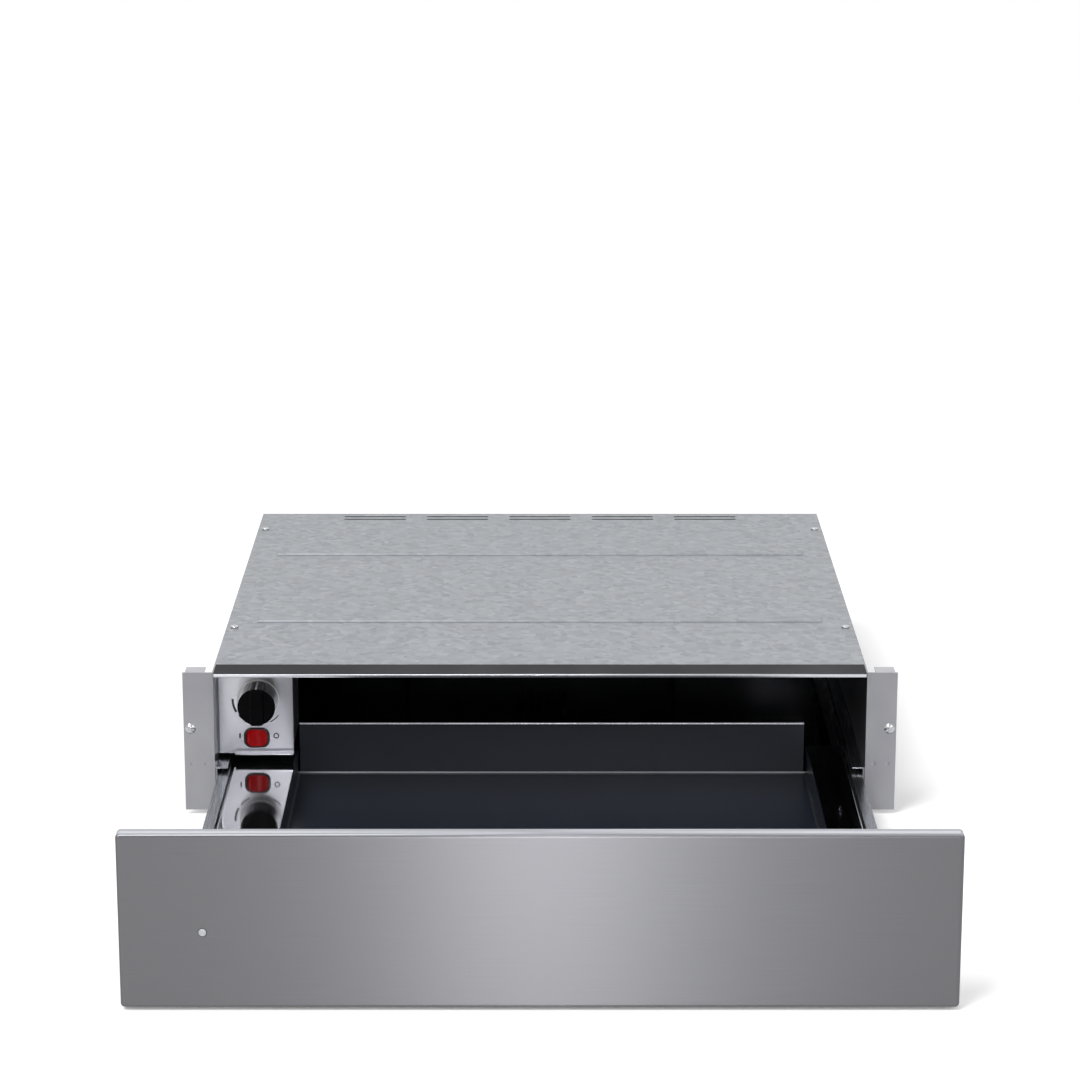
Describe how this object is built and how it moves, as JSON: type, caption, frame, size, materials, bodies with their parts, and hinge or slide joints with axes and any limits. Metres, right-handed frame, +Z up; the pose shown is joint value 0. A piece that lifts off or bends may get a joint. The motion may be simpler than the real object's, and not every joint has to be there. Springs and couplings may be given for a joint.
{
  "type": "built in warming drawer",
  "caption": "Built in warming drawer with a flat brushed steel front, pulled out on telescopic runners, with a recessed thermostat knob and a lit rocker switch.",
  "frame": {"origin": "on the underside of the chassis, midway across, in the plane of the cabinet's front edges", "axes": "+X to the right seen from the front, +Y to the back, +Z up; the drawer is pulled out along -Y"},
  "size_m": [0.595, 0.9586, 0.132],
  "materials": {
    "front_steel": "stainless steel, brushed lengthways",
    "polished_steel": "stainless steel, mirror polished",
    "satin_steel": "stainless steel, satin",
    "zinc_sheet": "galvanised sheet",
    "runner_zinc": "bright zinc plate",
    "screw_steel": "nickel plated",
    "tray_enamel": "gloss enamel, near black",
    "core_board": "pressed insulating board",
    "black_plastic": "moulded, polished",
    "dark_plastic": "moulded, fine grain",
    "white_print": "white",
    "red_rocker": "translucent red, lit from behind",
    "clear_lens": "clear acrylic",
    "soft_rubber": "moulded",
    "white_ceramic": "unglazed steatite",
    "brass_tab": "stamped",
    "heater_sheath": "heat tinted",
    "copper_tube": "drawn capillary"
  },
  "bodies": {
    "chassis": {"chassis_base": "zinc_sheet", "chassis_side_right": "satin_steel", "chassis_side_left": "satin_steel", "chassis_cover": "zinc_sheet", "cover_trim": "polished_steel", "chassis_rear": "zinc_sheet", "rear_partition": "polished_steel", "cabinet_screws": "screw_steel", "cover_screws": "screw_steel", "runner_fixed_right": "runner_zinc", "runner_fixed_left": "runner_zinc", "side_rivets": "screw_steel", "control_panel": "polished_steel", "control_box": "zinc_sheet", "knob_ring": "white_print", "thermostat_body": "zinc_sheet", "capillary_and_bulb": "copper_tube", "bulb_clip": "zinc_sheet", "switch_body": "black_plastic", "switch_blades": "brass_tab", "fan_frame": "dark_plastic", "fan_standoffs": "zinc_sheet", "fan_motor": "satin_steel", "heater_element": "heater_sheath", "heater_clamp": "zinc_sheet", "fan_cover": "polished_steel", "thermal_cutout": "white_ceramic", "cable_gland": "dark_plastic", "gland_locknut": "dark_plastic", "terminal_block": "white_ceramic", "wiring_harness": "soft_rubber", "harness_grommet": "soft_rubber", "latch_body": "dark_plastic"},
    "drawer": {"front_skin": "front_steel", "front_core": "core_board", "front_inner_plate": "satin_steel", "indicator_lens": "clear_lens", "front_bumpers": "soft_rubber", "front_brackets": "zinc_sheet", "front_screws": "screw_steel", "drawer_tray": "tray_enamel", "drawer_back_wall": "tray_enamel", "shelf_right": "polished_steel", "shelf_left": "polished_steel", "runner_inner_right": "runner_zinc", "runner_inner_left": "runner_zinc", "drawer_rivets": "screw_steel"},
    "middle_right": {"runner_middle_right": "runner_zinc"},
    "middle_left": {"runner_middle_left": "runner_zinc"},
    "outer_balls_right": {"outer_cage_right": "screw_steel"},
    "outer_balls_left": {"outer_cage_left": "screw_steel"},
    "inner_balls_right": {"inner_cage_right": "screw_steel"},
    "inner_balls_left": {"inner_cage_left": "screw_steel"},
    "knob": {"thermostat_knob": "black_plastic", "knob_pointer": "white_print", "knob_shaft": "screw_steel"},
    "rocker": {"switch_rocker": "red_rocker"},
    "fan": {"fan_impeller": "dark_plastic"},
    "plunger": {"latch_plunger": "screw_steel"}
  },
  "joints": [
    {"name": "drawer_slide", "type": "slide", "parent": "chassis", "child": "drawer", "axis": [0, 1, 0], "range_m": [0, 0.4]},
    {"name": "middle_right_slide", "type": "slide", "parent": "chassis", "child": "middle_right", "axis": [0, 1, 0], "range_m": [0, 0.2]},
    {"name": "outer_balls_right_slide", "type": "slide", "parent": "chassis", "child": "outer_balls_right", "axis": [0, 1, 0], "range_m": [0, 0.1]},
    {"name": "inner_balls_right_slide", "type": "slide", "parent": "chassis", "child": "inner_balls_right", "axis": [0, 1, 0], "range_m": [0, 0.3]},
    {"name": "middle_left_slide", "type": "slide", "parent": "chassis", "child": "middle_left", "axis": [0, 1, 0], "range_m": [0, 0.2]},
    {"name": "outer_balls_left_slide", "type": "slide", "parent": "chassis", "child": "outer_balls_left", "axis": [0, 1, 0], "range_m": [0, 0.1]},
    {"name": "inner_balls_left_slide", "type": "slide", "parent": "chassis", "child": "inner_balls_left", "axis": [0, 1, 0], "range_m": [0, 0.3]},
    {"name": "knob_turn", "type": "hinge", "parent": "chassis", "child": "knob", "pos_m": [-0.2346, 0.0296, 0.089], "axis": [0, 1, 0], "range_deg": [0, 300]},
    {"name": "rocker_tilt", "type": "hinge", "parent": "chassis", "child": "rocker", "pos_m": [-0.2365, 0.031, 0.056], "axis": [0, 0, -1], "range_deg": [0, 16]},
    {"name": "fan_spin", "type": "hinge", "parent": "chassis", "child": "fan", "pos_m": [0, 0.499, 0.062], "axis": [0, 1, 0], "continuous": true},
    {"name": "plunger_press", "type": "slide", "parent": "chassis", "child": "plunger", "axis": [0, 1, 0], "range_m": [0, 0.004], "stiffness_N_per_m": 300}
  ],
  "couplings": [
    {"joint": "middle_right_slide", "follows": "drawer_slide", "ratio": 0.5},
    {"joint": "outer_balls_right_slide", "follows": "drawer_slide", "ratio": 0.25},
    {"joint": "inner_balls_right_slide", "follows": "drawer_slide", "ratio": 0.75},
    {"joint": "middle_left_slide", "follows": "drawer_slide", "ratio": 0.5},
    {"joint": "outer_balls_left_slide", "follows": "drawer_slide", "ratio": 0.25},
    {"joint": "inner_balls_left_slide", "follows": "drawer_slide", "ratio": 0.75}
  ]
}
